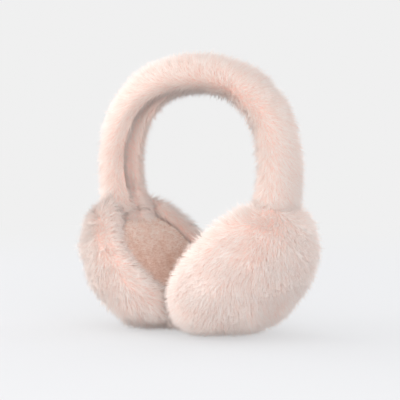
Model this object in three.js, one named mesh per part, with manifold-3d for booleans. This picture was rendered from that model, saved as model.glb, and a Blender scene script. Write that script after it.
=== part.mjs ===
// Fur earmuffs: a sprung headband in a fur sleeve, two fur cups and a pad in each cup.
// Millimetres, +Z up. The origin is on the ground, midway between the two cups. X runs
// from ear to ear (the wearer faces +Y, so the right ear is at +X). The solids have the
// outer form of the pile, and the cups are flattened where they rest and where they meet.

import * as THREE from 'three';
import { mergeVertices } from 'three/addons/utils/BufferGeometryUtils.js';
import Module from 'manifold-3d';

const wasm = await Module();
wasm.setup();

// ---- driving dimensions -------------------------------------------------------------

const GAP = 0.3;                  // clearance kept between pieces that touch
const HEIGHT = 200;               // ground to the crown of the band

const cup = {
  centreX: 41.5,                  // centre of the cup's widest plane
  centreZ: 48,
  tilt: THREE.MathUtils.degToRad(42), // the outer side leans down by this much
  halfWidth: 57,                  // along Y
  halfHeight: 64,                 // along the cup's own slope
  domeDepth: 43,                  // widest plane to the outer pole
  domeBow: 2.2,                   // superellipse exponent of the dome
  rimDepth: 18,                   // widest plane to the crest of the rim
  crest: 0.79,                    // crest of the rim, as a share of the cup's size
  mouth: 0.59,                    // mouth of the recess, as a share of the cup's size
  lipDepth: 8,                    // the rim rolls this far into the recess
  segments: 44,
};

const pad = {
  surface: 10,                    // edge of the pad to the cup's widest plane, inwards
  crown: 2,                       // the middle of the pad stands this much higher
  edgeRound: 2.5,
  thick: 10,
  seam: 31.5,                     // straight top seam, above the centre along the slope
};

const band = {
  halfSpan: 76.5,                 // centreline, where the arch is widest
  widestZ: 118,
  bow: 2.25,                      // superellipse exponent of the arch
  leanBow: 2.5,                   // how late the legs lean in
  thick: 29.5,                    // section, across the arch
  wide: 37,                       // section, along Y
  endThick: 12,
  endWide: 39,
  sectionBow: 2.2,                // superellipse exponent of the section
  taperFrom: 112,                 // below this height the sleeve is pressed thinner
  grooveDepth: 3.6,               // the sleeve's long join, a groove along the inner side
  grooveHalf: 5,
  rings: 56,
  sides: 24,
};

// Each leg ends on the pad's seam, square to the cup's slope. Its drop below the widest
// height and its lean inwards follow from that.
const leanPerDrop = Math.tan(cup.tilt) / band.leanBow;
const legDrop = ((band.halfSpan - cup.centreX) * Math.sin(cup.tilt)
  + (band.widestZ - cup.centreZ) * Math.cos(cup.tilt) - pad.seam - GAP)
  / (leanPerDrop * Math.sin(cup.tilt) + Math.cos(cup.tilt));

const FUR = { color: 0xe9cfc7, roughness: 0.95, metalness: 0 };
const FLEECE = { color: 0xd3b6a8, roughness: 0.97, metalness: 0 };

// ---- helpers ------------------------------------------------------------------------

const signedPower = (value, power) => Math.sign(value) * Math.abs(value) ** power;

function toSolid(geometry) {
  const bare = geometry.clone();
  bare.deleteAttribute('normal');
  bare.deleteAttribute('uv');
  const merged = mergeVertices(bare, 1e-4);
  return new wasm.Manifold(new wasm.Mesh({
    numProp: 3,
    vertProperties: Float32Array.from(merged.attributes.position.array),
    triVerts: Uint32Array.from(merged.index.array),
  }));
}

function toGeometry(solid) {
  const mesh = solid.getMesh();
  const geometry = new THREE.BufferGeometry();
  geometry.setAttribute('position', new THREE.BufferAttribute(mesh.vertProperties, 3));
  geometry.setIndex(new THREE.BufferAttribute(mesh.triVerts, 1));
  geometry.computeVertexNormals();
  return geometry;
}

// A box between two corners.
function block(low, high) {
  const size = new THREE.Vector3().subVectors(high, low);
  const middle = new THREE.Vector3().addVectors(high, low).multiplyScalar(0.5);
  return new THREE.BoxGeometry(size.x, size.y, size.z).translate(...middle);
}

// A closed skin over rings of points, with a flat fan on each end.
function loft(rings) {
  const sides = rings[0].length;
  const points = rings.flat();
  const faces = [];
  for (let i = 0; i < rings.length - 1; i += 1) {
    for (let j = 0; j < sides; j += 1) {
      const a = i * sides + j;
      const b = i * sides + (j + 1) % sides;
      faces.push(a, b, b + sides, a, b + sides, a + sides);
    }
  }
  for (const last of [false, true]) {
    const start = last ? (rings.length - 1) * sides : 0;
    const centre = new THREE.Vector3();
    for (let j = 0; j < sides; j += 1) centre.addScaledVector(points[start + j], 1 / sides);
    const hub = points.push(centre) - 1;
    for (let j = 0; j < sides; j += 1) {
      const pair = [start + j, start + (j + 1) % sides];
      if (!last) pair.reverse();
      faces.push(hub, ...pair);
    }
  }
  return new THREE.BufferGeometry().setFromPoints(points).setIndex(faces);
}

// ---- headband -----------------------------------------------------------------------

// The centreline from the +X end over the crown to the -X end. The top is a superellipse,
// and each leg leans in below its widest height until it lies along the cup's slope.
class ArchCurve extends THREE.Curve {
  getPoint(t, target = new THREE.Vector3()) {
    const topShare = 0.7;
    const way = 1 - 2 * t;
    const away = Math.abs(way);
    const rise = HEIGHT - band.thick / 2 - band.widestZ;
    if (away <= topShare) {
      const angle = (Math.PI / 2) * (1 - away / topShare);
      return target.set(
        Math.sign(way) * band.halfSpan * Math.cos(angle) ** (2 / band.bow),
        0,
        band.widestZ + rise * Math.sin(angle) ** (2 / band.bow),
      );
    }
    const down = (away - topShare) / (1 - topShare);
    const x = band.halfSpan - legDrop * leanPerDrop * down ** band.leanBow;
    return target.set(Math.sign(way) * x, 0, band.widestZ - legDrop * down);
  }
}

// The band's sleeve, grown by a clearance all round and by a further reach on its inner side.
function bandGeometry(grow = 0, reach = 0) {
  const curve = new ArchCurve();
  curve.arcLengthDivisions = 800;
  const rings = [];
  for (let i = 0; i <= band.rings; i += 1) {
    const at = i / band.rings;
    const along = curve.getTangentAt(at);
    const pastEnd = grow * (Number(i === band.rings) - Number(i === 0));
    const point = curve.getPointAt(at).addScaledVector(along, pastEnd);
    const outwards = new THREE.Vector3(along.z, 0, -along.x);
    const full = THREE.MathUtils.smoothstep(point.z, band.widestZ - legDrop, band.taperFrom);
    const thick = THREE.MathUtils.lerp(band.endThick, band.thick, full) / 2;
    const wide = THREE.MathUtils.lerp(band.endWide, band.wide, full) / 2;
    const ring = [];
    for (let j = 0; j < band.sides; j += 1) {
      const turn = (2 * Math.PI * j) / band.sides;
      const y = (wide + grow) * signedPower(Math.sin(turn), 2 / band.sectionBow);
      let across = (thick + grow) * signedPower(Math.cos(turn), 2 / band.sectionBow);
      if (across < 0) {
        const groove = band.grooveDepth * Math.exp(-((y / band.grooveHalf) ** 2));
        across += reach > 0 ? -reach : groove;
      }
      ring.push(point.clone().addScaledVector(outwards, across).setY(y));
    }
    rings.push(ring);
  }
  return loft(rings);
}

// ---- cup and pad --------------------------------------------------------------------

// From the cup's own frame (x along Y, y out through the dome, z down the slope) to its place.
const cupPlace = new THREE.Matrix4().makeBasis(
  new THREE.Vector3(0, 1, 0),
  new THREE.Vector3(Math.cos(cup.tilt), 0, -Math.sin(cup.tilt)),
  new THREE.Vector3(-Math.sin(cup.tilt), 0, -Math.cos(cup.tilt)),
).setPosition(cup.centreX, 0, cup.centreZ);

// Turns a profile of [share of the cup's size, depth] and stretches it to the cup's oval.
function turned(profile, shrink = 0) {
  const outline = profile.map(([share, depth]) => new THREE.Vector2(share, depth));
  return new THREE.LatheGeometry(outline, cup.segments)
    .scale(cup.halfWidth - shrink, 1, cup.halfHeight - shrink)
    .applyMatrix4(cupPlace);
}

// Points of a quarter of an oval about [share, depth], from one angle to another.
function quarter([share, depth], sizeShare, sizeDepth, from, to, steps, bow = 2) {
  const points = [];
  for (let i = 0; i <= steps; i += 1) {
    const angle = THREE.MathUtils.degToRad(THREE.MathUtils.lerp(from, to, i / steps));
    points.push([
      share + sizeShare * signedPower(Math.cos(angle), 2 / bow),
      depth + sizeDepth * signedPower(Math.sin(angle), 2 / bow),
    ]);
  }
  return points;
}

const recessFloor = -pad.surface + pad.thick + GAP;

function cupSolid() {
  const lipEnd = -cup.rimDepth + cup.lipDepth;
  const profile = [
    [0, recessFloor],
    [cup.mouth, recessFloor],
    ...quarter([cup.crest, lipEnd], cup.crest - cup.mouth, cup.lipDepth, 180, 270, 5),
    ...quarter([cup.crest, 0], 1 - cup.crest, cup.rimDepth, 270, 360, 7).slice(1),
    ...quarter([0, 0], 1, cup.domeDepth, 0, 90, 12, cup.domeBow).slice(1, -1),
    [0, cup.domeDepth],
  ];
  const far = 2 * HEIGHT;
  const ground = block(new THREE.Vector3(-far, -far, -far), new THREE.Vector3(far, far, 0));
  const otherSide = block(new THREE.Vector3(-far, -far, -far), new THREE.Vector3(GAP / 2, far, far));
  return toSolid(turned(profile))
    .subtract(toSolid(bandGeometry(GAP)))
    .subtract(toSolid(bandGeometry(GAP, cup.rimDepth)))
    .subtract(toSolid(ground))
    .subtract(toSolid(otherSide));
}

function padSolid() {
  const back = -pad.surface + pad.thick;
  const edge = (cup.mouth * cup.halfWidth - pad.edgeRound) / cup.halfWidth;
  const round = pad.edgeRound / cup.halfWidth;
  const profile = [
    ...quarter([0, -pad.surface], edge, pad.crown, 270, 360, 5, 2).slice(0, -1),
    ...quarter([edge, -pad.surface + pad.edgeRound], round, pad.edgeRound, 270, 360, 3),
    [cup.mouth, back],
    [0, back],
  ];
  const far = 2 * HEIGHT;
  const aboveSeam = block(
    new THREE.Vector3(-far, -far, -far),
    new THREE.Vector3(far, far, -pad.seam),
  ).applyMatrix4(cupPlace);
  return toSolid(turned(profile, GAP)).subtract(toSolid(aboveSeam));
}

// ---- assembly -----------------------------------------------------------------------

const group = new THREE.Group();

function addPiece(name, geometry, finish, turn = 0) {
  const mesh = new THREE.Mesh(geometry, new THREE.MeshStandardMaterial(finish));
  mesh.name = name;
  mesh.rotation.z = turn;
  group.add(mesh);
}

addPiece('headband', bandGeometry(), FUR);

const cupGeometry = toGeometry(cupSolid());
const padGeometry = toGeometry(padSolid());
for (const [side, turn] of [['right', 0], ['left', Math.PI]]) {
  addPiece(`ear_cup_${side}`, cupGeometry, FUR, turn);
  addPiece(`ear_pad_${side}`, padGeometry, FLEECE, turn);
}

export default group;
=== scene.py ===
import itertools
import math

import bpy
import numpy as np
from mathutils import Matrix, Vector


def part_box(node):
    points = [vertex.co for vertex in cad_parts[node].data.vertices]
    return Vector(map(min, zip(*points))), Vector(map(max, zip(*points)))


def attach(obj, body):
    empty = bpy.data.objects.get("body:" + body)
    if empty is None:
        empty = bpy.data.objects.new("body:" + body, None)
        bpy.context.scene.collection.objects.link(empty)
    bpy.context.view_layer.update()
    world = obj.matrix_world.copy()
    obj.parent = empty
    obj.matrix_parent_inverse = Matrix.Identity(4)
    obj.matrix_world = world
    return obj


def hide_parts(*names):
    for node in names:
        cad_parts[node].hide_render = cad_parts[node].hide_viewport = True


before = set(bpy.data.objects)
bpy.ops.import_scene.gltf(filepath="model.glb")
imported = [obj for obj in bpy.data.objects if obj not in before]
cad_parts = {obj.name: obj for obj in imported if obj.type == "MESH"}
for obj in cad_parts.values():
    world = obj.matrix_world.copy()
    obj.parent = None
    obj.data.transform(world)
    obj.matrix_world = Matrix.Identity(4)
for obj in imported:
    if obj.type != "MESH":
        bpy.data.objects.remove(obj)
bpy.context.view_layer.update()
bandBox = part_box("headband")
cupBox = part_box("ear_cup_right")
print("frame loaded")

# lengths are metres and angles are degrees. x runs from ear to ear and z up, from the
# ground midway between the cups

floorGap = 0.0004            # the lowest hair ends stay this far above the ground
meetGap = 0.0003             # and this far from the plane between the cups


def unit(v):
    # vectors divided by their lengths
    return v / np.maximum(np.linalg.norm(v, axis=-1, keepdims=True), 1e-12)


def dot(a, b):
    # sum of the products of the parts, kept as a column
    return np.sum(a * b, axis=-1, keepdims=True)


def signedPower(x, power):
    # the size of x raised to a power, with the sign of x
    return np.sign(x) * np.abs(x) ** power


def smoothStep(x, low, high):
    # three times the square of the share of the way, less twice its cube
    t = np.clip((x - low) / (high - low), 0, 1)
    return t * t * (3 - 2 * t)


def bell(x, width):
    # one at nought, falling on both sides as e to the less square of x over width
    return np.exp(-(x / width) ** 2)


def softMax(x, low, width):
    # x above low, easing into low over about width: the root of a hyperbola
    return low + 0.5 * ((x - low) + np.sqrt((x - low) ** 2 + width ** 2))


def softLumps(points, size, seed, waves=10):
    # a sum of sine waves of about one size in random directions, between about -1 and 1
    rng = np.random.default_rng(seed)
    total = np.zeros(points.shape[:-1])
    for _ in range(waves):
        k = unit(rng.normal(size=3)) * 2 * math.pi / (size * rng.uniform(0.7, 1.4))
        total += np.sin(points @ k + rng.uniform(0, 2 * math.pi))
    return total * math.sqrt(2 / waves) / 1.6


def cubeRandom(cube, seed):
    # three even random numbers for each integer cube, by mixing its three indices with
    # large odd numbers
    h = cube.astype(np.uint64)
    mixed = h[..., 0] * np.uint64(73856093) ^ h[..., 1] * np.uint64(19349663)
    mixed ^= h[..., 2] * np.uint64(83492791) ^ np.uint64(seed * 2654435761)
    out = []
    for salt in (40503, 65599, 92821):
        m = mixed * np.uint64(salt) + np.uint64(salt)
        m ^= m >> np.uint64(15)
        m *= np.uint64(2246822519)
        m ^= m >> np.uint64(13)
        m *= np.uint64(3266489917)
        m ^= m >> np.uint64(16)
        out.append((m & np.uint64(0xFFFFFF)).astype(float) / 0xFFFFFF)
    return np.stack(out, -1)


def tuftCentres(points, size, seed):
    # the nearest of many centres, one at a random place in each cube of the given size,
    # and a random tone for it
    toPositive = 4096            # added to the cubes' indices before they are mixed
    base = np.floor(points / size).astype(np.int64)
    bestFar = np.full(len(points), np.inf)
    bestCentre = np.zeros_like(points)
    bestTone = np.zeros(len(points))
    for offset in itertools.product((-1, 0, 1), repeat=3):
        cube = base + np.array(offset)
        chance = cubeRandom(cube + toPositive, seed)
        centre = (cube + chance) * size
        far = np.linalg.norm(points - centre, axis=1)
        nearer = far < bestFar
        bestFar = np.where(nearer, far, bestFar)
        bestCentre = np.where(nearer[:, None], centre, bestCentre)
        bestTone = np.where(nearer, (chance[:, 0] * 7 + chance[:, 2] * 5) % 1, bestTone)
    return bestCentre, bestTone


def mirrored(points, side):
    # x times the side, which is 1 or -1
    return points * np.array([side, 1, 1])


def meshFrom(name, points, quads, triangles, uv=None, normals=None):
    # a smooth mesh of quads and triangles, with a map and normals point by point if given
    mesh = bpy.data.meshes.new(name)
    corners = np.concatenate([quads.reshape(-1), triangles.reshape(-1)]).astype(np.int32)
    starts = np.concatenate([
        np.arange(len(quads)) * 4,
        len(quads) * 4 + np.arange(len(triangles)) * 3,
    ]).astype(np.int32)
    mesh.vertices.add(len(points))
    mesh.vertices.foreach_set("co", points.astype(np.float32).reshape(-1))
    mesh.loops.add(len(corners))
    mesh.loops.foreach_set("vertex_index", corners)
    mesh.polygons.add(len(starts))
    mesh.polygons.foreach_set("loop_start", starts)
    mesh.update(calc_edges=True)
    mesh.shade_smooth()
    if uv is not None:
        layer = mesh.uv_layers.new(name="OFBake")
        layer.data.foreach_set("uv", uv[corners].astype(np.float32).reshape(-1))
    if normals is not None:
        mesh.normals_split_custom_set_from_vertices(normals.astype(np.float32))
    return mesh


def ringGrid(points, flip=False):
    # rings of points, wrapped round, with the first and the last ring closed to their middles
    rows, cols = points.shape[:2]
    index = np.arange(rows * cols).reshape(rows, cols)
    nextOne = np.roll(index, -1, axis=1)
    quads = np.stack([index[:-1], nextOne[:-1], nextOne[1:], index[1:]], -1).reshape(-1, 4)
    first = np.stack([np.full(cols, rows * cols), nextOne[0], index[0]], -1)
    last = np.stack([np.full(cols, rows * cols + 1), index[-1], nextOne[-1]], -1)
    triangles = np.concatenate([first, last])
    if flip:
        quads = quads[:, ::-1]
        triangles = triangles[:, ::-1]
    middles = np.stack([points[0].mean(0), points[-1].mean(0)])
    return np.concatenate([points.reshape(-1, 3), middles]), quads, triangles


def addPiece(name, mesh, material, nodeNames=()):
    # a piece on the root body, hiding the nodes of model.glb that it stands for
    piece = bpy.data.objects.new(name, mesh)
    bpy.context.scene.collection.objects.link(piece)
    mesh.materials.append(material)
    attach(piece, "root")
    if nodeNames:
        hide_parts(*nodeNames)


def surfaceNormal(shape, a, b, turn):
    # cross product of the two slopes of the surface, taken over a small step
    step = 2e-4
    alongA = shape(a + step, b) - shape(a - step, b)
    alongB = shape(a, b + step) - shape(a, b - step)
    return unit(np.cross(alongA, alongB)) * turn


def scatter(shape, turn, count, seed, lowA=0.0, highA=1.0, rows=260, cols=140):
    # even random places on a surface: cells of a grid are drawn in proportion to their area,
    # in equal steps of the running total, and each place is random within its cell
    rng = np.random.default_rng(seed)
    a = np.linspace(lowA, highA, rows + 1)
    b = np.linspace(0, 2 * math.pi, cols + 1)
    grid = shape(*np.meshgrid(a, b, indexing="ij"))
    one = grid[1:, :-1] - grid[:-1, :-1]
    two = grid[:-1, 1:] - grid[:-1, :-1]
    area = np.linalg.norm(np.cross(one, two), axis=-1)
    total = np.cumsum(area.reshape(-1))
    pick = (np.arange(count) + rng.random(count)) / count * total[-1]
    cell = np.minimum(np.searchsorted(total, pick), rows * cols - 1)
    placeA = a[cell // cols] + rng.random(count) * (highA - lowA) / rows
    placeB = b[cell % cols] + rng.random(count) * 2 * math.pi / cols
    points = shape(placeA, placeB)
    return placeA, placeB, points, surfaceNormal(shape, placeA, placeB, turn)


# what all the locks of hair share. lengths are shares of the pile's own length
lock = {
    "shortest": 0.75,
    "longest": 1.10,
    "longShare": 0.10,       # this many stand out, longer by the next value
    "longer": 1.28,
    "rootDepth": 0.0006,     # how far the root runs into the cloth
    "fullLean": 0.10,        # weaker naps than this lean less
    "roundness": 1.15,       # how far the shading turns round a lock
    "toneAcross": 0.0016,    # tone from corner to corner
    "rootPlace": 0.03,       # places of root and tip on the finish's height ramp
    "tipPlace": 0.98,
    "middleTone": 0.56,
    "ownTone": 0.52,         # shares of a lock's own chance, its tuft's and a broad drift
    "tuftTone": 0.46,
    "drift": 0.07,
    "driftSize": 0.035,
}


def chosen(shown, pile):
    # places of the locks that are kept: as many of those shown as the pile has, at random
    rng = np.random.default_rng(pile["seed"] + 3)
    return rng.permutation(np.flatnonzero(shown))[:pile["count"]]


def hairMesh(name, roots, normals, flow, lengths, tones, pile, side=0):
    # each lock is a closed three-sided spike from the cloth to its tip: it leans from the
    # normal towards the nap, strays a little, and its tip is drawn to its tuft's middle. a
    # side of 1 or -1 keeps the locks on that half
    rng = np.random.default_rng(pile["seed"] + 1)
    count = len(roots)
    centre, _ = tuftCentres(roots, pile["tuft"], pile["seed"])
    flow = flow - dot(flow, normals) * normals
    strength = np.linalg.norm(flow, axis=1, keepdims=True)
    lean = pile["lean"] * smoothStep(strength, 0.0, lock["fullLean"])
    stray = rng.normal(size=(count, 3)) * pile["stray"]
    way = unit(normals * (1 - lean) + unit(flow) * lean + stray)
    toTuft = centre - roots
    toTuft = (toTuft - dot(toTuft, normals) * normals) * pile["pull"]
    size = lengths * rng.uniform(lock["shortest"], lock["longest"], count)
    size = size * np.where(rng.random(count) < lock["longShare"], lock["longer"], 1.0)
    tip = roots + way * size[:, None] + toTuft
    base = roots - way * lock["rootDepth"]
    joints = np.stack([base, tip], 1)
    joints[..., 2] = np.maximum(joints[..., 2], floorGap + pile["radius"])
    if side:
        joints[..., 0] = side * np.maximum(side * joints[..., 0], meetGap + pile["radius"])
    along = unit(joints[:, 1] - joints[:, 0])
    sideways = unit(np.cross(normals + rng.normal(size=(count, 3)) * 0.3, along))
    upward = np.cross(along, sideways)
    radius = pile["radius"] * rng.uniform(0.75, 1.25, count)[:, None]
    turnStart = rng.uniform(0, 2 * math.pi, count)[:, None]
    points = np.zeros((count, 4, 3))
    shading = np.zeros((count, 4, 3))
    uv = np.zeros((count, 4, 2))
    for corner in range(3):
        turn = turnStart + corner * 2 * math.pi / 3
        arm = sideways * np.cos(turn) + upward * np.sin(turn)
        points[:, corner] = joints[:, 0] + arm * radius
        shading[:, corner] = unit(normals + arm * lock["roundness"])
        uv[:, corner, 0] = tones + (corner - 1) * lock["toneAcross"]
        uv[:, corner, 1] = lock["rootPlace"] + 0.004 * corner
    points[:, 3] = joints[:, 1]
    shading[:, 3] = normals
    uv[:, 3, 0] = tones
    uv[:, 3, 1] = lock["tipPlace"]
    lockFaces = np.array([[0, 2, 1], [0, 1, 3], [1, 2, 3], [2, 0, 3]])
    faces = (np.arange(count)[:, None, None] * 4 + lockFaces).reshape(-1, 3)
    noQuads = np.zeros((0, 4), int)
    return meshFrom(name, points.reshape(-1, 3), noQuads, faces, uv.reshape(-1, 2),
                    shading.reshape(-1, 3))


def pileTones(points, pile, spread=1.0):
    # tone of each lock: its own chance, its tuft's chance and a broad drift, around a middle
    rng = np.random.default_rng(pile["seed"])
    _, tuftTone = tuftCentres(points, pile["tuft"], pile["seed"])
    own = lock["ownTone"] * (rng.random(len(points)) - 0.5)
    tone = lock["middleTone"] + spread * (own + lock["tuftTone"] * (tuftTone - 0.5))
    tone += lock["drift"] * softLumps(points, lock["driftSize"], pile["seed"])
    return np.clip(tone, 0.02, 0.98)


# tones run from the darkest lock to the lightest, height from root to tip. the darkest tones, a
# saturated salmon, serve the random spread of tones and also painted shade in creases, and each
# height ramp darkens the roots as painted shade deep in the pile. cloth is the backing under the pile
furFinish = {
    "tones": [(0.0, (0.965, 0.62, 0.525)), (0.22, (0.935, 0.755, 0.690)),
              (0.55, (0.945, 0.832, 0.772)), (1.0, (0.975, 0.925, 0.890))],
    "height": [(0.0, (0.93, 0.73, 0.67)), (0.40, (0.96, 0.92, 0.90)), (1.0, (1.0, 1.0, 1.0))],
    "cloth": [(0.3, (0.97, 0.62, 0.53)), (0.7, (0.99, 0.70, 0.62))],
    "weave": 700,
    "sheen": 0.5,
    "sheenTint": (1.0, 0.93, 0.90),
}
fleeceFinish = {
    "tones": [(0.0, (0.74, 0.44, 0.32)), (0.5, (0.95, 0.73, 0.63)), (1.0, (1.0, 0.90, 0.83))],
    "height": [(0.0, (0.88, 0.82, 0.80)), (0.5, (0.97, 0.95, 0.94)), (1.0, (1.0, 1.0, 1.0))],
    "cloth": [(0.3, (0.78, 0.50, 0.39)), (0.7, (0.88, 0.62, 0.51))],
    "weave": 1100,
    "sheen": 0.2,
    "sheenTint": (1.0, 0.90, 0.84),
}


def newMaterial(name, roughness, specular):
    # a matt shader, with its material's nodes and links
    material = bpy.data.materials.new(name)
    material.use_nodes = True
    shader = material.node_tree.nodes["Principled BSDF"]
    shader.inputs["Roughness"].default_value = roughness
    shader.inputs["Specular IOR Level"].default_value = specular
    return material, shader, material.node_tree.nodes, material.node_tree.links


def addSheen(shader, finish):
    # a soft tinted light at grazing angles, as on pile
    shader.inputs["Sheen Weight"].default_value = finish["sheen"]
    shader.inputs["Sheen Roughness"].default_value = 0.5
    shader.inputs["Sheen Tint"].default_value = (*finish["sheenTint"], 1)


def ramp(nodes, stops):
    # a colour ramp through stops of place and colour
    node = nodes.new("ShaderNodeValToRGB")
    for _ in range(len(stops) - 2):
        node.color_ramp.elements.new(0.5)
    for element, (place, colour) in zip(node.color_ramp.elements, stops):
        element.position = place
        element.color = (*colour, 1)
    return node


def hairMaterial(name, finish):
    # the tone's colour times the height's, read from the piece's own map; the height's colour is painted
    # shade towards the roots
    material, shader, nodes, links = newMaterial(name, 0.9, 0.15)
    addSheen(shader, finish)
    place = nodes.new("ShaderNodeUVMap")
    place.uv_map = "OFBake"
    split = nodes.new("ShaderNodeSeparateXYZ")
    tones = ramp(nodes, finish["tones"])
    height = ramp(nodes, finish["height"])
    mix = nodes.new("ShaderNodeMix")
    mix.data_type = "RGBA"
    mix.blend_type = "MULTIPLY"
    mix.inputs["Factor"].default_value = 1.0
    links.new(place.outputs["UV"], split.inputs["Vector"])
    links.new(split.outputs["X"], tones.inputs["Fac"])
    links.new(split.outputs["Y"], height.inputs["Fac"])
    links.new(tones.outputs["Color"], mix.inputs["A"])
    links.new(height.outputs["Color"], mix.inputs["B"])
    links.new(mix.outputs["Result"], shader.inputs["Base Color"])
    return material


def clothMaterial(name, finish):
    # backing under the pile: fine noise on the object's own coordinates, as colour and bump
    material, shader, nodes, links = newMaterial(name, 0.95, 0.1)
    addSheen(shader, finish)
    coords = nodes.new("ShaderNodeTexCoord")
    weave = nodes.new("ShaderNodeTexNoise")
    weave.inputs["Scale"].default_value = finish["weave"]
    weave.inputs["Detail"].default_value = 4
    tones = ramp(nodes, finish["cloth"])
    bump = nodes.new("ShaderNodeBump")
    bump.inputs["Strength"].default_value = 0.5
    bump.inputs["Distance"].default_value = 0.0008
    links.new(coords.outputs["Object"], weave.inputs["Vector"])
    links.new(weave.outputs["Fac"], tones.inputs["Fac"])
    links.new(weave.outputs["Fac"], bump.inputs["Height"])
    links.new(tones.outputs["Color"], shader.inputs["Base Color"])
    links.new(bump.outputs["Normal"], shader.inputs["Normal"])
    return material


furHair = hairMaterial("plush_pile", furFinish)
furCloth = clothMaterial("plush_backing", furFinish)
fleeceHair = hairMaterial("fleece_pile", fleeceFinish)
fleeceCloth = clothMaterial("fleece_backing", fleeceFinish)
print("finishes ready")


cup = {
    "centreX": 0.0415,       # middle of the cup's widest plane
    "centreZ": 0.048,
    "tilt": 42,              # the outer side leans down by this much
    "halfWidth": cupBox[1].y,
    "halfHeight": 0.064,     # along the cup's own slope
    "domeDepth": 0.043,      # widest plane to the outer pole
    "domeBow": 2.2,          # superellipse exponent of the dome
    "rimDepth": 0.018,       # widest plane to the crest of the rim
    "crest": 0.79,           # crest of the rim, as a share of the cup's size
    "mouth": 0.59,           # mouth of the recess, as a share of the cup's size
    "lipDepth": 0.008,       # the rim rolls this far into the recess
    "floorDepth": 0.001,     # recess floor, outwards of the widest plane
    "floorCorner": 0.002,    # and how much nearer it starts at its wall
    "notchLevel": -0.0095,   # the rim is pressed to here under the headband
    "notchStart": 0.024,     # from here up the slope, and fully from the next value
    "notchFull": 0.038,
    "notchEase": 0.005,
    "pressGap": 0.0002,      # eased flat to here on the ground and against the other cup
    "groundEase": 0.004,
    "meetEase": 0.003,
    "lumps": 0.0009,
    "lumpSize": 0.030,
    "skinInset": 0.0055,     # backing cloth below the tips of the pile
    "rings": 110,
    "sides": 150,
}
cupPile = {
    "count": 48500,
    "spare": 1.12,           # places drawn for each one kept
    "length": 0.0086,
    "radius": 0.00025,
    "lean": 0.54,            # 0 stands straight up, 1 lies flat along the nap
    "stray": 0.16,
    "tuft": 0.0024,
    "pull": 0.82,            # share of the way each tip is drawn to its tuft's middle
    "start": 0.003,          # stretch of the profile that has pile
    "end": 0.80,
    "sunk": 0.007,           # none this deep inside the headband
    "pressedShare": 0.15,    # what is left of it where the cup is pressed flat
    "recessShade": 0.75,      # painted shade: how far the tone falls towards the recess
    "napDown": 0.85,         # over the dome: down the slope, aside and towards the edge
    "napAside": 0.50,
    "napOutwards": 0.50,
    "lipDown": 0.55,         # over the rim: down, aside and towards the pad
    "lipAside": 0.35,
    "lipInwards": 0.30,
    "footNap": 1.5,          # near the ground: away from the foot
    "seed": 23,
    "leftSeed": 7,           # added for the left cup
}

tilt = math.radians(cup["tilt"])
cupCentre = np.array([cup["centreX"], 0, cup["centreZ"]])
cupOut = np.array([math.cos(tilt), 0, -math.sin(tilt)])
cupUp = np.array([math.sin(tilt), 0, math.cos(tilt)])
yWay = np.array([0, 1, 0])


def domeDepth(share):
    # superellipse height of the dome at a share of the cup's size
    return cup["domeDepth"] * (1 - np.clip(share, 0, 1) ** cup["domeBow"]) ** (1 / cup["domeBow"])


def rimLevel(share):
    # depth of the inner side: a quarter oval from the widest plane to the crest, then a
    # quarter oval down into the mouth of the recess
    outer = np.clip((share - cup["crest"]) / (1 - cup["crest"]), 0, 1)
    inner = np.clip((cup["crest"] - share) / (cup["crest"] - cup["mouth"]), 0, 1)
    rise = cup["rimDepth"] * np.sqrt(1 - outer ** 2)
    return -(rise - cup["lipDepth"] * (1 - np.sqrt(1 - inner ** 2)))


def cupProfile(steps=1200):
    # share of the cup's size and depth, from the outer pole over the rim to the recess
    # floor: a superellipse quarter, two oval quarters and a flat, with the length so far
    a = np.linspace(math.pi / 2, 0, steps)
    dome = np.stack([signedPower(np.cos(a), 2 / cup["domeBow"]),
                     cup["domeDepth"] * signedPower(np.sin(a), 2 / cup["domeBow"])], 1)
    dome[0, 0] = 0
    b = np.linspace(0, -math.pi / 2, steps)[1:]
    rim = np.stack([cup["crest"] + (1 - cup["crest"]) * np.cos(b),
                    cup["rimDepth"] * np.sin(b)], 1)
    c = np.linspace(1.5 * math.pi, math.pi, steps)[1:]
    lip = np.stack([cup["crest"] + (cup["crest"] - cup["mouth"]) * np.cos(c),
                    -cup["rimDepth"] + cup["lipDepth"] * (1 + np.sin(c))], 1)
    flat = np.array([[cup["mouth"], cup["floorDepth"] - cup["floorCorner"]],
                     [cup["mouth"] - 0.03, cup["floorDepth"]],
                     [0.0, cup["floorDepth"]]])
    points = np.concatenate([dome, rim, lip, flat])
    size = (cup["halfWidth"] + cup["halfHeight"]) / 2
    step = np.hypot(np.diff(points[:, 0]) * size, np.diff(points[:, 1]))
    length = np.concatenate([[0], np.cumsum(step)])
    return points, length / length[-1]


profile, profileLength = cupProfile()


def cupLocal(points):
    # back to the cup's own frame: along y, up the slope, out through the dome
    moved = points - cupCentre
    return moved[..., 1], moved @ cupUp, moved @ cupOut


def cupPlace(y, v, u):
    # from the cup's own frame to its place
    return cupCentre + y[..., None] * yWay + v[..., None] * cupUp + u[..., None] * cupOut


def cupShare(y, v):
    # how far out a place lies, as a share of the cup's oval
    return np.hypot(y / cup["halfWidth"], v / cup["halfHeight"])


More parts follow.
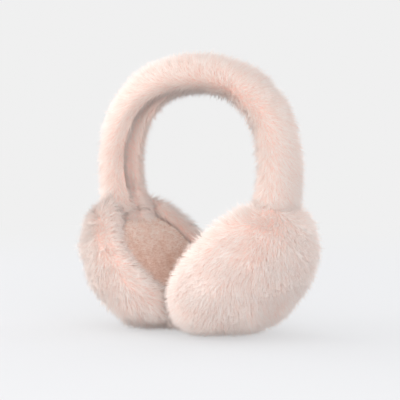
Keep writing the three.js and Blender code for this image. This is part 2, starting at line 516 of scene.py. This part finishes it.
def cupPoint(p, phi):
    # the profile turned round the cup's axis and stretched to its oval, pressed in where the
    # headband passes over the rim, and eased flat on the ground and against the other cup
    share = np.interp(p, profileLength, profile[:, 0])
    u = np.interp(p, profileLength, profile[:, 1])
    y = share * cup["halfWidth"] * np.cos(phi)
    v = share * cup["halfHeight"] * np.sin(phi)
    half = bandBox[1].y
    notch = 1 - smoothStep(np.abs(y), half - cup["notchEase"], half + cup["notchEase"])
    notch = notch * smoothStep(v, cup["notchStart"], cup["notchFull"])
    level = cup["notchLevel"]
    u = np.where(u < level, u + (level - u) * notch, u)
    out = cupPlace(y, v, u)
    lumps = softLumps(out, cup["lumpSize"], 5)[..., None] * unit(out - cupCentre)
    out = out + lumps * cup["lumps"] * smoothStep(u, -0.012, -0.006)[..., None]
    out[..., 2] = softMax(out[..., 2], cup["pressGap"], cup["groundEase"])
    out[..., 0] = softMax(out[..., 0], cup["pressGap"], cup["meetEase"])
    return out


def cupSkin(p, phi):
    # the cup's form, moved in along its normal
    return cupPoint(p, phi) - surfaceNormal(cupPoint, p, phi, 1) * cup["skinInset"]


def cupFlow(points):
    # down the slope and lower down along y, turning outwards towards the edge; along the
    # lip it turns over the pad, and near the ground it is pressed away from the foot
    y, v, u = cupLocal(points)
    radial = unit(y[:, None] * yWay + v[:, None] * cupUp)
    share = cupShare(y, v)[:, None]
    dome = smoothStep(u, -0.006, 0.010)[:, None]
    aside = cupPile["napAside"] * (1 - smoothStep(v, -0.010, 0.050))[:, None]
    outwards = radial * cupPile["napOutwards"] * share ** 3
    fan = yWay * aside - cupUp * cupPile["napDown"] + outwards
    lip = yWay * cupPile["lipAside"] - cupUp * cupPile["lipDown"] - radial * cupPile["lipInwards"]
    foot = np.array([0.45 * cup["centreX"], 0, 0])
    fromFoot = unit((points - foot) * np.array([1, 1, 0]))
    low = 1 - smoothStep(points[:, 2:], 0.005, 0.018)
    return fan * dome + lip * (1 - dome) + fromFoot * cupPile["footNap"] * low


def insideCup(points, margin):
    # whether points of either half lie within a cup's body, by its dome and its inner side
    y, v, u = cupLocal(points * np.where(points[:, :1] < 0, [-1, 1, 1], [1, 1, 1]))
    share = cupShare(y, v)
    inner = np.where(share < cup["mouth"], -pad["surface"], rimLevel(share))
    return (share < 1) & (u < domeDepth(share) - margin) & (u > inner + margin)


def pressedFlat(points, normals):
    # whether the skin lies on the ground or against the other cup: near it and facing it
    near = cup["skinInset"] + 0.0005
    onGround = (points[:, 2] < near) & (normals[:, 2] < -0.9)
    return onGround | ((points[:, 0] < near) & (normals[:, 0] < -0.8) & (points[:, 2] < 0.022))


def makeCup(side):
    # backing cloth and its pile for one cup, worked out at +x and mirrored for the left
    name = "right" if side > 0 else "left"
    p = np.linspace(0.004, 0.985, cup["rings"] + 1)
    phi = np.linspace(0, 2 * math.pi, cup["sides"], endpoint=False)
    points = cupSkin(*np.meshgrid(p, phi, indexing="ij"))
    cloth = meshFrom("ear_cup_shell_" + name, *ringGrid(mirrored(points, side), flip=side > 0))
    addPiece("ear_cup_shell_" + name, cloth, furCloth, ["ear_cup_" + name])

    pile = dict(cupPile, seed=cupPile["seed"] + (0 if side > 0 else cupPile["leftSeed"]))
    drawn = int(pile["count"] * pile["spare"])
    _, _, points, normals = scatter(cupSkin, 1, drawn, pile["seed"], pile["start"], pile["end"])
    rng = np.random.default_rng(pile["seed"] + 2)
    left = ~pressedFlat(points, normals) | (rng.random(len(points)) < pile["pressedShare"])
    keep = chosen(left & ~insideBand(points + normals * 0.002, -pile["sunk"]), pile)
    points, normals = points[keep], normals[keep]
    y, v, u = cupLocal(points)
    nearPad = 1 - smoothStep(cupShare(y, v), cup["mouth"], cup["mouth"] + 0.22)
    tones = pileTones(points, pile)
    # painted shade: the tone falls in the hollow where the rim rolls down to the pad
    tones *= 1 - pile["recessShade"] * nearPad * smoothStep(-u, 0.002, 0.010)
    lengths = np.full(len(points), pile["length"])
    mesh = hairMesh("ear_cup_pile_" + name, mirrored(points, side), mirrored(normals, side),
                    mirrored(cupFlow(points), side), lengths, tones, pile, side)
    addPiece("ear_cup_pile_" + name, mesh, furHair)
    print("ear cup", name, len(points), "locks")


pad = {
    "surface": 0.0100,       # edge of the pad to the cup's widest plane
    "crown": 0.0020,         # the middle stands this much higher
    "edgeRound": 0.0022,
    "thick": 0.0095,
    "seam": 0.0315,          # straight top seam above the cup's centre
    "seamEase": 0.002,       # rounds the corners where the seam meets the oval
    "under": 0.0012,         # the fabric runs this far under the end of the sleeve
    "clear": 0.0005,
    "lumps": 0.0003,
    "lumpSize": 0.016,
    "faceEnd": 0.66,         # the profile's face, side and rounded back corner end here
    "sideEnd": 0.80,
    "cornerEnd": 0.86,
    "rings": 60,
    "backRings": 12,
    "sides": 120,
}
padPile = {
    "count": 15000,
    "length": 0.0027,
    "radius": 0.00024,
    "lean": 0.42,
    "stray": 0.35,
    "tuft": 0.0021,
    "pull": 0.65,
    "toneSpread": 1.2,
    "lowTone": 0.55,         # how far the tone falls towards the lower end
    "seed": 41,
    "leftSeed": 5,           # added for the left pad
}


def padPoint(p, phi):
    # an oval cut straight along its top seam, crowned in the middle and rolled at its edge
    faceEnd, sideEnd = pad["faceEnd"], pad["sideEnd"]
    mouthWide = cup["mouth"] * cup["halfWidth"] - pad["clear"]
    mouthHigh = cup["mouth"] * cup["halfHeight"] - pad["clear"]
    oval = 1 / np.sqrt((np.cos(phi) / mouthWide) ** 2 + (np.sin(phi) / mouthHigh) ** 2)
    straight = (pad["seam"] + pad["under"]) / np.maximum(np.sin(phi), 0.05)
    reach = -softMax(-oval, -straight, pad["seamEase"])
    share = np.interp(p, [0, faceEnd, sideEnd, pad["cornerEnd"], 1], [0, 1, 1, 0.97, 0])
    top = -pad["surface"] - pad["crown"] * (1 - share ** 2)
    roll = pad["edgeRound"]
    fromEdge = np.clip((oval - share * reach) / roll, 0, 1)
    top = top + roll * (1 - np.sqrt(1 - (1 - fromEdge) ** 2))
    downSide = np.interp(p, [faceEnd, sideEnd, 1], [0, 1, 1])
    u = np.where(p > faceEnd, -pad["surface"] + roll + (pad["thick"] - roll) * downSide, top)
    out = cupPlace(share * reach * np.cos(phi), share * reach * np.sin(phi), u)
    soft = softLumps(out, pad["lumpSize"], 9)[..., None] * cupOut
    return out + soft * pad["lumps"] * (share < 0.97)[..., None]


def makePad(side):
    # fabric and its short pile for one pad, worked out at +x and mirrored for the left
    name = "right" if side > 0 else "left"
    faceEnd = pad["faceEnd"]
    face = np.linspace(0.01, faceEnd, pad["rings"]) ** 0.8 / faceEnd ** 0.8 * faceEnd
    p = np.concatenate([face, np.linspace(faceEnd + 0.02, 0.99, pad["backRings"])])
    phi = np.linspace(0, 2 * math.pi, pad["sides"], endpoint=False)
    points = padPoint(*np.meshgrid(p, phi, indexing="ij"))
    cloth = meshFrom("ear_pad_fabric_" + name, *ringGrid(mirrored(points, side), flip=side < 0))
    addPiece("ear_pad_fabric_" + name, cloth, fleeceCloth, ["ear_pad_" + name])

    pile = dict(padPile, seed=padPile["seed"] + (0 if side > 0 else padPile["leftSeed"]))
    _, _, points, normals = scatter(padPoint, -1, pile["count"], pile["seed"], 0.004, faceEnd)
    rng = np.random.default_rng(pile["seed"] + 2)
    flow = yWay * 0.25 - cupUp + rng.normal(size=(len(points), 3)) * 0.3
    _, v, _ = cupLocal(points)
    tones = pileTones(points, pile, pile["toneSpread"])
    tones *= 1 - pile["lowTone"] * smoothStep(-v, -0.018, 0.032)
    lengths = np.full(len(points), pile["length"])
    mesh = hairMesh("ear_pad_pile_" + name, mirrored(points, side), mirrored(normals, side),
                    mirrored(flow, side), lengths, tones, pile, side)
    addPiece("ear_pad_pile_" + name, mesh, fleeceHair)
    print("ear pad", name, len(points), "locks")


arch = {
    "thick": 0.0295,         # section of the sleeve across the arch
    "wide": 0.037,           # section along y
    "widestHeight": 0.118,
    "bow": 2.25,             # superellipse exponent of the arch
    "topShare": 0.7,         # share of the line that is above the widest height
    "leanBow": 2.5,          # how late the legs lean in
    "endThick": 0.0175,
    "endWide": 0.0425,
    "endRound": 0.0028,
    "endPast": 0.0025,       # the backing runs this much further, as the pile lies back
    "sectionBow": 2.2,
    "taperFrom": 0.112,      # below this height the sleeve is pressed thinner
    "grooveDepth": 0.0066,   # the sleeve's long join on the inner side
    "grooveHalf": 0.0042,
    "grooveLeast": 0.35,     # share of its depth over the crown and low down the legs
    "skinInset": 0.0048,     # backing cloth below the tips of the pile
    "pressedInset": 0.28,    # share of that where the sleeve is pressed thin
    "lumps": 0.0007,
    "lumpSize": 0.022,
    "rings": 300,
    "sides": 64,
}
bandPile = {
    "count": 48500,
    "spare": 1.10,           # places drawn for each one kept
    "length": 0.0082,
    "radius": 0.00024,
    "lean": 0.54,
    "stray": 0.16,
    "tuft": 0.0023,
    "pull": 0.82,
    "sunk": 0.007,           # none this deep inside a cup
    "grooveShort": 0.65,     # how much shorter it is in the join
    "endShort": 0.25,        # and at the very ends
    "innerShade": 0.22,       # painted shade: how far the tone falls on the inner side and in the join
    "joinShade": 0.6,
    "napTurn": 0.22,         # share of the line over which the nap turns from leg to leg
    "napRound": 0.25,        # how far it runs round the section down the legs
    "crownWidth": 0.20,      # and the share of the line where it does so fully
    "partWidth": 0.009,
    "part": 0.9,             # how far it parts at the join
    "seed": 11,
}

# each leg ends on the pad's seam, square to the cup's slope
halfSpan = bandBox[1].x - arch["thick"] / 2
crownHeight = bandBox[1].z - arch["thick"] / 2
leanPerDrop = math.tan(tilt) / arch["leanBow"]
legDrop = ((halfSpan - cup["centreX"]) * math.sin(tilt)
           + (arch["widestHeight"] - cup["centreZ"]) * math.cos(tilt)
           - pad["seam"] - meetGap) / (leanPerDrop * math.sin(tilt) + math.cos(tilt))


def archLine(steps=8001, endSteps=40):
    # centreline from the +x end to the -x end. the top is a superellipse; below its widest
    # height each leg drops straight and leans in by a power of the drop, and both ends go
    # on straight for a little
    way = np.linspace(1, -1, steps)
    away = np.abs(way)
    angle = math.pi / 2 * (1 - np.minimum(away / arch["topShare"], 1))
    topX = halfSpan * np.maximum(np.cos(angle), 0) ** (2 / arch["bow"])
    rise = crownHeight - arch["widestHeight"]
    topZ = arch["widestHeight"] + rise * np.sin(angle) ** (2 / arch["bow"])
    down = np.clip((away - arch["topShare"]) / (1 - arch["topShare"]), 0, 1)
    legX = halfSpan - legDrop * leanPerDrop * down ** arch["leanBow"]
    legZ = arch["widestHeight"] - legDrop * down
    x = np.sign(way) * np.where(away > arch["topShare"], legX, topX)
    z = np.where(away > arch["topShare"], legZ, topZ)
    endX = x[0] - x[endSteps]
    endZ = z[0] - z[endSteps]
    past = arch["endPast"] / math.hypot(endX, endZ)
    x = np.concatenate([[x[0] + endX * past], x, [x[-1] - endX * past]])
    z = np.concatenate([[z[0] + endZ * past], z, [z[-1] + endZ * past]])
    length = np.concatenate([[0], np.cumsum(np.hypot(np.diff(x), np.diff(z)))])
    return {"way": length / length[-1], "length": length[-1], "x": x, "z": z,
            "alongX": np.gradient(x, length), "alongZ": np.gradient(z, length)}


line = archLine()
lineEnd = line["z"].min()


def lineAt(w):
    # place and unit direction at a share of the line's length
    values = [np.interp(w, line["way"], line[key]) for key in ("x", "z", "alongX", "alongZ")]
    size = np.hypot(values[2], values[3])
    return values[0], values[1], values[2] / size, values[3] / size


def toEnd(w):
    # distance along the line to the nearer end
    return np.minimum(w, 1 - w) * line["length"]


def section(z):
    # half sizes across the arch and along y, eased from the pressed ends to the full sleeve
    full = smoothStep(z, lineEnd, arch["taperFrom"])
    thick = (arch["endThick"] + (arch["thick"] - arch["endThick"]) * full) / 2
    wide = (arch["endWide"] + (arch["wide"] - arch["endWide"]) * full) / 2
    return thick, wide, full


def joinShare(w):
    # the join is shallow over the crown, full down the legs and gone at their ends: a
    # smooth step of the way from the crown times one of the way from the end
    least = arch["grooveLeast"]
    fromCrown = least + (1 - least) * smoothStep(np.abs(w - 0.5), 0.06, 0.18)
    return fromCrown * smoothStep(np.minimum(w, 1 - w), 0.03, 0.11)


def bandPoint(w, q):
    # the centreline plus a superellipse section, cos outwards and sin along y, with a
    # bell-shaped groove on the inner side and both ends drawn in round
    x, z, alongX, alongZ = lineAt(w)
    thick, wide, full = section(z)
    drawn = np.clip(1 - toEnd(w) / arch["endRound"], 0, 1)
    drawnIn = arch["endRound"] * (1 - np.sqrt(1 - drawn ** 2))
    y = (wide - drawnIn * 0.7) * signedPower(np.sin(q), 2 / arch["sectionBow"])
    across = (thick - drawnIn) * signedPower(np.cos(q), 2 / arch["sectionBow"])
    low = arch["grooveLeast"] + (1 - arch["grooveLeast"]) * full
    groove = arch["grooveDepth"] * bell(y, arch["grooveHalf"]) * low * joinShare(w)
    across = across + np.where(np.cos(q) < 0, groove, 0)
    return np.stack([x + alongZ * across, y, z - alongX * across], -1)


def bandSkin(w, q):
    # the sleeve's form, moved in along its normal, by less where the sleeve is pressed thin
    least = arch["pressedInset"]
    full = section(lineAt(w)[1])[2]
    inset = arch["skinInset"] * (least + (1 - least) * full)
    return bandPoint(w, q) - surfaceNormal(bandPoint, w, q, -1) * inset[..., None]


def bandFlow(w, q, points):
    # down each leg, round the section over the crown, and away from the long join
    _, _, alongX, alongZ = lineAt(w)
    away = np.tanh((w - 0.5) / bandPile["napTurn"])
    along = np.stack([alongX, np.zeros_like(w), alongZ], -1) * away[:, None]
    outwards = np.stack([alongZ, np.zeros_like(w), -alongX], -1)
    around = yWay * np.cos(q)[:, None] - outwards * np.sin(q)[:, None]
    least = bandPile["napRound"]
    crown = least + (1 - least) * bell(w - 0.5, bandPile["crownWidth"])
    inner = smoothStep(-np.cos(q), 0.1, 0.4) * smoothStep(np.abs(w - 0.5), 0.08, 0.20)
    part = np.sign(points[:, 1]) * bell(points[:, 1], bandPile["partWidth"]) * inner
    around = around * (crown * (1 - 0.8 * inner))[:, None]
    return along + around + yWay * (bandPile["part"] * part)[:, None]


def insideBand(points, margin):
    # whether points lie within the sleeve: nearest place on the centreline, then its section
    x, z, alongX, alongZ = lineAt(np.linspace(0, 1, 500))
    far = (np.abs(points[:, :1]) - x) ** 2 + (points[:, 2:] - z) ** 2
    near = np.argmin(far, axis=1)
    offX = np.abs(points[:, 0]) - x[near]
    offZ = points[:, 2] - z[near]
    across = offX * alongZ[near] - offZ * alongX[near]
    thick, wide, _ = section(z[near])
    fill = np.abs(across / (thick + margin)) ** arch["sectionBow"]
    fill += np.abs(points[:, 1] / (wide + margin)) ** arch["sectionBow"]
    pastEnd = np.abs(offX * alongX[near] + offZ * alongZ[near]) > 0.003
    return (fill < 1) & ~pastEnd


def makeHeadband():
    # the sleeve's backing cloth and its pile, both raised by the same soft lumps
    w = np.linspace(0.0002, 0.9998, arch["rings"] + 1)
    q = np.linspace(0, 2 * math.pi, arch["sides"], endpoint=False)
    gridW, gridQ = np.meshgrid(w, q, indexing="ij")
    points = bandSkin(gridW, gridQ)
    bulge = softLumps(points, arch["lumpSize"], 3)[..., None] * arch["lumps"]
    points = points + surfaceNormal(bandPoint, gridW, gridQ, -1) * bulge
    cloth = meshFrom("headband_sleeve", *ringGrid(points))
    addPiece("headband_sleeve", cloth, furCloth, ["headband"])

    pile = bandPile
    w, q, points, normals = scatter(bandSkin, -1, int(pile["count"] * pile["spare"]), pile["seed"])
    outer = np.cos(q) > -0.45
    keep = chosen(~(insideCup(points + normals * 0.002, pile["sunk"]) & outer), pile)
    w, q, points, normals = w[keep], q[keep], points[keep], normals[keep]
    points = points + normals * softLumps(points, arch["lumpSize"], 3)[:, None] * arch["lumps"]
    inJoin = bell(points[:, 1], arch["grooveHalf"]) * smoothStep(-np.cos(q), 0.1, 0.4) * joinShare(w)
    lengths = pile["length"] * (1 - pile["grooveShort"] * inJoin)
    lengths *= 1 - pile["endShort"] * (1 - smoothStep(toEnd(w), 0.002, 0.020))
    tones = pileTones(points, pile)
    # painted shade: the tone falls on the inner side under the arch and in the join's crease
    tones *= 1 - pile["innerShade"] * smoothStep(-np.cos(q), 0.0, 0.6)
    tones *= 1 - pile["joinShade"] * inJoin
    mesh = hairMesh("headband_pile", points, normals, bandFlow(w, q, points), lengths, tones, pile)
    addPiece("headband_pile", mesh, furHair)
    print("headband", len(points), "locks")


makeHeadband()
for side in (1, -1):
    makeCup(side)
    makePad(side)


studio = {
    "background": 0.871,
    "floorColour": (0.69, 0.705, 0.74),
    "floorGlow": 0.60,       # share of the background's brightness in the floor near by
    "floorNear": 0.40,       # and how far out it starts and ends turning into all of it
    "floorFar": 1.1,
}
lamps = {
    "key": {"place": (-0.95, -1.45, 1.0), "power": 6, "size": 1.5, "colour": (1.0, 0.97, 0.92)},
    "fill": {"place": (1.75, -0.95, 0.55), "power": 16, "size": 1.6, "colour": (0.95, 0.965, 1.0)},
    "top": {"place": (0.0, 0.2, 2.3), "power": 1.0, "size": 1.8, "colour": (1.0, 0.99, 0.98)},
    "left": {"place": (-1.8, 0.1, 0.9), "power": 11, "size": 1.5, "colour": (1.0, 0.97, 0.94)},
    "back": {"place": (0.5, 1.9, 0.8), "power": 9, "size": 1.5, "colour": (0.95, 0.97, 1.0)},
    "bounce": {"place": (0.55, -0.85, 0.03), "power": 6.4, "size": 0.6, "colour": (1.0, 0.93, 0.91)},
    "bounceLeft": {"place": (-0.70, -0.70, 0.03), "power": 7.5, "size": 0.5, "colour": (1.0, 0.94, 0.92)},
}
view = {
    "azimuth": 42,
    "elevation": 3.2,
    "distance": 1.174,
    "aimHeight": 0.0948,
    "aimAside": 0.0020,
    "lens": 146.6,
}


def floorMesh():
    # rings of points round the origin, radius times cos and sin, joined to a disc
    turns = np.linspace(0, 2 * math.pi, 97)[:-1]
    radii = np.array([0.05, 0.3, 0.6, 1.2, 3.0, 12.0])
    ring = np.stack([np.cos(turns), np.sin(turns), np.zeros_like(turns)], -1)
    points = radii[:, None, None] * ring[None]
    rows, cols = points.shape[:2]
    index = np.arange(rows * cols).reshape(rows, cols)
    nextOne = np.roll(index, -1, axis=1)
    quads = np.stack([index[:-1], index[1:], nextOne[1:], nextOne[:-1]], -1).reshape(-1, 4)
    middle = np.stack([np.full(cols, rows * cols), index[0], nextOne[0]], -1)
    return meshFrom("studio_floor", np.concatenate([points.reshape(-1, 3), np.zeros((1, 3))]),
                    quads, middle)


def floorMaterial():
    # diffuse near the object, easing into the background's own brightness further out
    material, shader, nodes, links = newMaterial("studio_floor", 1.0, 0.0)
    shader.inputs["Base Color"].default_value = (*studio["floorColour"], 1)
    glow = nodes.new("ShaderNodeEmission")
    glow.inputs["Color"].default_value = (1, 1, 1, 1)
    glow.inputs["Strength"].default_value = studio["background"]
    coords = nodes.new("ShaderNodeTexCoord")
    length = nodes.new("ShaderNodeVectorMath")
    length.operation = "LENGTH"
    far = nodes.new("ShaderNodeMapRange")
    far.interpolation_type = "SMOOTHSTEP"
    far.inputs["From Min"].default_value = studio["floorNear"]
    far.inputs["From Max"].default_value = studio["floorFar"]
    far.inputs["To Min"].default_value = studio["floorGlow"]
    mix = nodes.new("ShaderNodeMixShader")
    links.new(coords.outputs["Object"], length.inputs[0])
    links.new(length.outputs["Value"], far.inputs["Value"])
    links.new(far.outputs["Result"], mix.inputs["Fac"])
    links.new(shader.outputs["BSDF"], mix.inputs[1])
    links.new(glow.outputs["Emission"], mix.inputs[2])
    links.new(mix.outputs["Shader"], nodes["Material Output"].inputs["Surface"])
    return material


def makeFloor():
    # the disc, staged so that it is no part of the object
    floor = bpy.data.objects.new("studio_floor", floorMesh())
    floor.data.materials.append(floorMaterial())
    bpy.context.scene.collection.objects.link(floor)


def makeLight():
    # an even white world, and square lamps that face the origin
    world = bpy.data.worlds.new("studio")
    world.use_nodes = True
    back = world.node_tree.nodes["Background"]
    back.inputs["Color"].default_value = (1, 1, 1, 1)
    back.inputs["Strength"].default_value = studio["background"]
    bpy.context.scene.world = world
    for name, lamp in lamps.items():
        light = bpy.data.lights.new(name, "AREA")
        light.energy = lamp["power"]
        light.color = lamp["colour"]
        light.size = lamp["size"]
        holder = bpy.data.objects.new(name, light)
        holder.location = lamp["place"]
        holder.rotation_euler = (-Vector(lamp["place"])).to_track_quat("-Z", "Y").to_euler()
        bpy.context.scene.collection.objects.link(holder)


def makeCamera():
    # at the given bearing from the aim, which lies a little aside of the object's middle
    a = math.radians(view["azimuth"])
    e = math.radians(view["elevation"])
    aside = Vector((math.cos(a), math.sin(a), 0)) * view["aimAside"]
    aim = Vector((0, 0, view["aimHeight"])) + aside
    bearing = Vector((math.sin(a) * math.cos(e), -math.cos(a) * math.cos(e), math.sin(e)))
    lens = bpy.data.cameras.new("camera")
    lens.lens = view["lens"]
    lens.sensor_width = 36
    camera = bpy.data.objects.new("camera", lens)
    camera.location = aim + bearing * view["distance"]
    camera.rotation_euler = (-bearing).to_track_quat("-Z", "Y").to_euler()
    bpy.context.scene.collection.objects.link(camera)
    bpy.context.scene.camera = camera


makeFloor()
makeLight()
makeCamera()
bpy.context.scene.view_settings.view_transform = "Standard"
bpy.context.scene.view_settings.look = "None"
print("studio ready")
